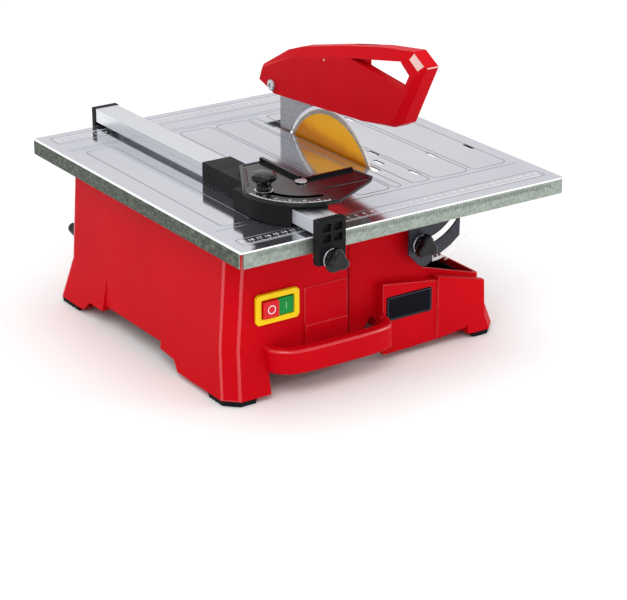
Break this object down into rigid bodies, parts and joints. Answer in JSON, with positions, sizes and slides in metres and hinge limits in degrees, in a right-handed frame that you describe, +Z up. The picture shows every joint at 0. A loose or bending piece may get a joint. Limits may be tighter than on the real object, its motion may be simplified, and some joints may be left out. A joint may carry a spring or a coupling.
{
  "type": "wet tile saw",
  "caption": "Bench-top wet tile saw with a tilting sheet-steel table, a guarded diamond blade, a water tray, and a rip fence that carries a mitre protractor.",
  "frame": {"origin": "on the ground, under the middle of the whole's box", "axes": "+X to the operator's right, +Y from the front to the back, +Z up"},
  "size_m": [0.42, 0.4916, 0.344],
  "materials": {
    "red_plastic": "moulded, satin gloss",
    "black_plastic": "moulded, fine texture",
    "gloss_black": "polished",
    "yellow_plastic": "moulded",
    "stop_red": "moulded",
    "start_green": "moulded",
    "rubber": "matt",
    "label": "blank plate",
    "table_sheet": "zinc-coated sheet, bright",
    "plated_steel": "zinc-plated",
    "knife_steel": "hot-rolled, grey",
    "dark_plate": "dark grey paint",
    "aluminium": "drawn, satin",
    "cast_aluminium": "die cast",
    "laminations": "stacked sheet",
    "blade_gold": "gold-coloured coating, grey diamond rim"
  },
  "bodies": {
    "root": {"housing": "red_plastic", "carry_handle": "red_plastic", "water_tray": "black_plastic", "switch_frame": "yellow_plastic", "switch_box": "black_plastic", "label_plate": "label", "cable_gland": "black_plastic", "foot_front_left": "rubber", "foot_rear_left": "rubber", "foot_front_right": "rubber", "foot_rear_right": "rubber", "motor_can": "cast_aluminium", "stator_core": "laminations", "end_shield_right": "cast_aluminium", "end_shield_left": "cast_aluminium", "bearing_right": "plated_steel", "bearing_left": "plated_steel", "capacitor": "black_plastic", "riving_knife": "knife_steel", "knife_bracket": "cast_aluminium", "bevel_bolt_front": "plated_steel", "bevel_bolt_rear": "plated_steel"},
    "blade": {"motor_shaft": "plated_steel", "rotor_core": "laminations", "cooling_fan": "black_plastic", "inner_flange": "plated_steel", "saw_blade": "blade_gold", "outer_flange": "plated_steel", "arbor_nut": "plated_steel"},
    "guard": {"blade_guard": "red_plastic", "guard_screw": "plated_steel", "guard_nut": "black_plastic"},
    "table": {"table_top": "table_sheet", "bevel_plate_front": "dark_plate", "bevel_plate_rear": "dark_plate"},
    "bevel_knob_front": {"bevel_knob_front": "gloss_black"},
    "bevel_knob_rear": {"bevel_knob_rear": "gloss_black"},
    "fence": {"fence_rail": "aluminium", "fence_rear_cap": "black_plastic", "fence_clamp": "black_plastic", "clamp_jaw": "plated_steel"},
    "fence_knob": {"fence_knob": "gloss_black", "clamp_screw": "plated_steel"},
    "mitre_base": {"mitre_base": "black_plastic", "mitre_pivot": "plated_steel", "mitre_stud": "plated_steel"},
    "mitre_protractor": {"mitre_protractor": "gloss_black"},
    "mitre_knob": {"mitre_knob": "gloss_black"},
    "stop_button": {"stop_button": "stop_red"},
    "start_button": {"start_button": "start_green"}
  },
  "joints": [
    {"name": "blade_spin", "type": "hinge", "parent": "root", "child": "blade", "pos_m": [0.052, 0.0085, 0.145], "axis": [1, 0, 0], "continuous": true},
    {"name": "guard_pivot", "type": "hinge", "parent": "root", "child": "guard", "pos_m": [0.052, 0.1085, 0.244], "axis": [-1, 0, 0], "range_deg": [-14, 50]},
    {"name": "table_tilt", "type": "hinge", "parent": "root", "child": "table", "pos_m": [0.052, 0, 0.19], "axis": [0, 1, 0], "range_deg": [0, 45]},
    {"name": "bevel_knob_front_turn", "type": "hinge", "parent": "root", "child": "bevel_knob_front", "pos_m": [0.05413, -0.173, 0.12904], "axis": [0, -1, 0], "range_deg": [0, 360]},
    {"name": "bevel_knob_rear_turn", "type": "hinge", "parent": "root", "child": "bevel_knob_rear", "pos_m": [0.05413, 0.194, 0.12904], "axis": [0, 1, 0], "range_deg": [0, 360]},
    {"name": "fence_slide", "type": "slide", "parent": "table", "child": "fence", "axis": [-1, 0, 0], "range_m": [-0.035, 0.08]},
    {"name": "fence_knob_turn", "type": "hinge", "parent": "fence", "child": "fence_knob", "pos_m": [-0.108, -0.2378, 0.168], "axis": [0, -1, 0], "range_deg": [0, 360]},
    {"name": "mitre_slide", "type": "slide", "parent": "fence", "child": "mitre_base", "axis": [0, 1, 0], "range_m": [-0.015, 0.235]},
    {"name": "mitre_turn", "type": "hinge", "parent": "mitre_base", "child": "mitre_protractor", "pos_m": [-0.082, -0.1315, 0.2152], "axis": [0, 0, -1], "range_deg": [0, 60]},
    {"name": "mitre_knob_turn", "type": "hinge", "parent": "mitre_base", "child": "mitre_knob", "pos_m": [-0.1283, -0.1315, 0.225], "axis": [0, 0, 1], "range_deg": [0, 360]},
    {"name": "stop_button_press", "type": "slide", "parent": "root", "child": "stop_button", "axis": [0, 1, 0], "range_m": [0, 0.0035], "stiffness_N_per_m": 400},
    {"name": "start_button_press", "type": "slide", "parent": "root", "child": "start_button", "axis": [0, 1, 0], "range_m": [0, 0.0035], "stiffness_N_per_m": 400}
  ]
}
